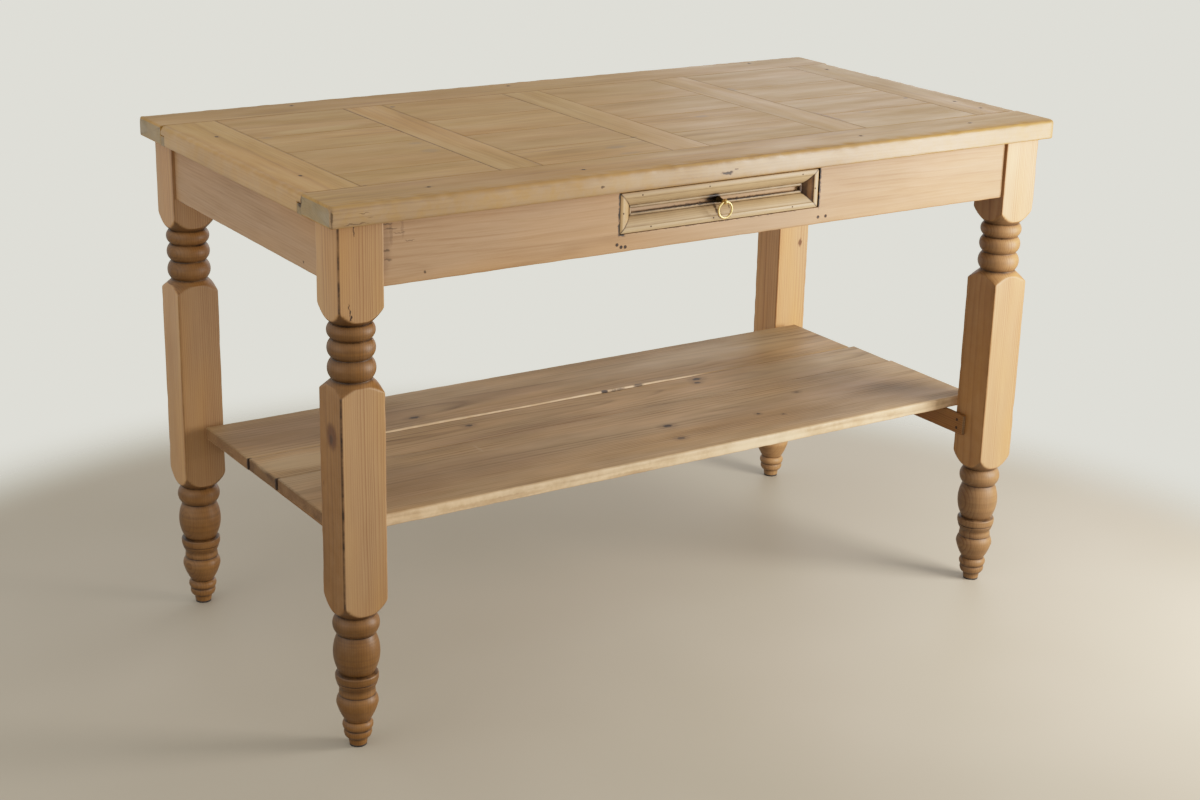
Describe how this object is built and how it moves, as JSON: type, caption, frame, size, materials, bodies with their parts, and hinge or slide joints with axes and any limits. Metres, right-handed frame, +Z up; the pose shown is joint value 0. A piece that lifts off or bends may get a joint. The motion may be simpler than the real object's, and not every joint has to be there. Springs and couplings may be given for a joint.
{
  "type": "farmhouse table",
  "caption": "Pine farmhouse table: framed board top, square and turned legs, shallow drawer with a ring pull, low board shelf.",
  "frame": {"origin": "on the floor under the middle of the tabletop", "axes": "+X along the table to the right as seen from the drawer side, +Y from the drawer side to the back, +Z up"},
  "size_m": [1.27, 0.668, 0.8],
  "materials": {
    "top_pine": "waxed reclaimed pine, satin",
    "leg_pine": "waxed pine, satin",
    "apron_pine": "waxed pine, satin",
    "drawer_front_pine": "waxed pine, satin",
    "inside_pine": "bare pine, matt",
    "shelf_pine": "worn waxed pine, matt",
    "bearer_pine": "pine, matt",
    "nail_iron": "dark cut iron nails, matt",
    "ring_brass": "aged brass, satin",
    "dark_brass": "tarnished brass, matt",
    "glide_plastic": "dark nail-on glide, matt"
  },
  "bodies": {
    "frame": {"back_apron": "apron_pine", "bay_1_board_1": "top_pine", "bay_1_board_2": "top_pine", "bay_1_board_3": "top_pine", "bay_1_board_4": "top_pine", "bay_2_board_1": "top_pine", "bay_2_board_2": "top_pine", "bay_2_board_3": "top_pine", "bay_2_board_4": "top_pine", "bay_3_board_1": "top_pine", "bay_3_board_2": "top_pine", "bay_3_board_3": "top_pine", "bay_3_board_4": "top_pine", "bay_4_board_1": "top_pine", "bay_4_board_2": "top_pine", "bay_4_board_3": "top_pine", "bay_4_board_4": "top_pine", "bearer_nails": "nail_iron", "drawer_stops": "inside_pine", "floor_glides": "glide_plastic", "front_apron": "apron_pine", "left_apron": "apron_pine", "left_drawer_kicker": "inside_pine", "left_drawer_runner": "inside_pine", "left_shelf_bearer": "bearer_pine", "leg_back_left": "leg_pine", "leg_back_right": "leg_pine", "leg_front_left": "leg_pine", "leg_front_right": "leg_pine", "right_apron": "apron_pine", "right_drawer_kicker": "inside_pine", "right_drawer_runner": "inside_pine", "right_shelf_bearer": "bearer_pine", "runner_nails": "nail_iron", "shelf_back_board": "shelf_pine", "shelf_front_board": "shelf_pine", "shelf_middle_board": "shelf_pine", "top_back_board": "top_pine", "top_batten_left": "top_pine", "top_batten_middle": "top_pine", "top_batten_right": "top_pine", "top_front_board": "top_pine", "top_left_board": "top_pine", "top_nails": "nail_iron", "top_right_board": "top_pine"},
    "drawer": {"drawer_front": "drawer_front_pine", "drawer_moulding_top": "drawer_front_pine", "drawer_moulding_bottom": "drawer_front_pine", "drawer_moulding_left": "drawer_front_pine", "drawer_moulding_right": "drawer_front_pine", "drawer_left_side": "inside_pine", "drawer_right_side": "inside_pine", "drawer_back": "inside_pine", "drawer_bottom": "inside_pine", "moulding_brads": "nail_iron", "pull_post": "dark_brass", "pull_nut": "dark_brass"},
    "ring": {"pull_ring": "ring_brass"}
  },
  "joints": [
    {"name": "drawer_slide", "type": "slide", "parent": "frame", "child": "drawer", "axis": [0, -1, 0], "range_m": [0, 0.3]},
    {"name": "ring_swing", "type": "hinge", "parent": "drawer", "child": "ring", "pos_m": [-0.001, -0.32, 0.734], "axis": [-1, 0, 0], "range_deg": [-15, 195]}
  ]
}
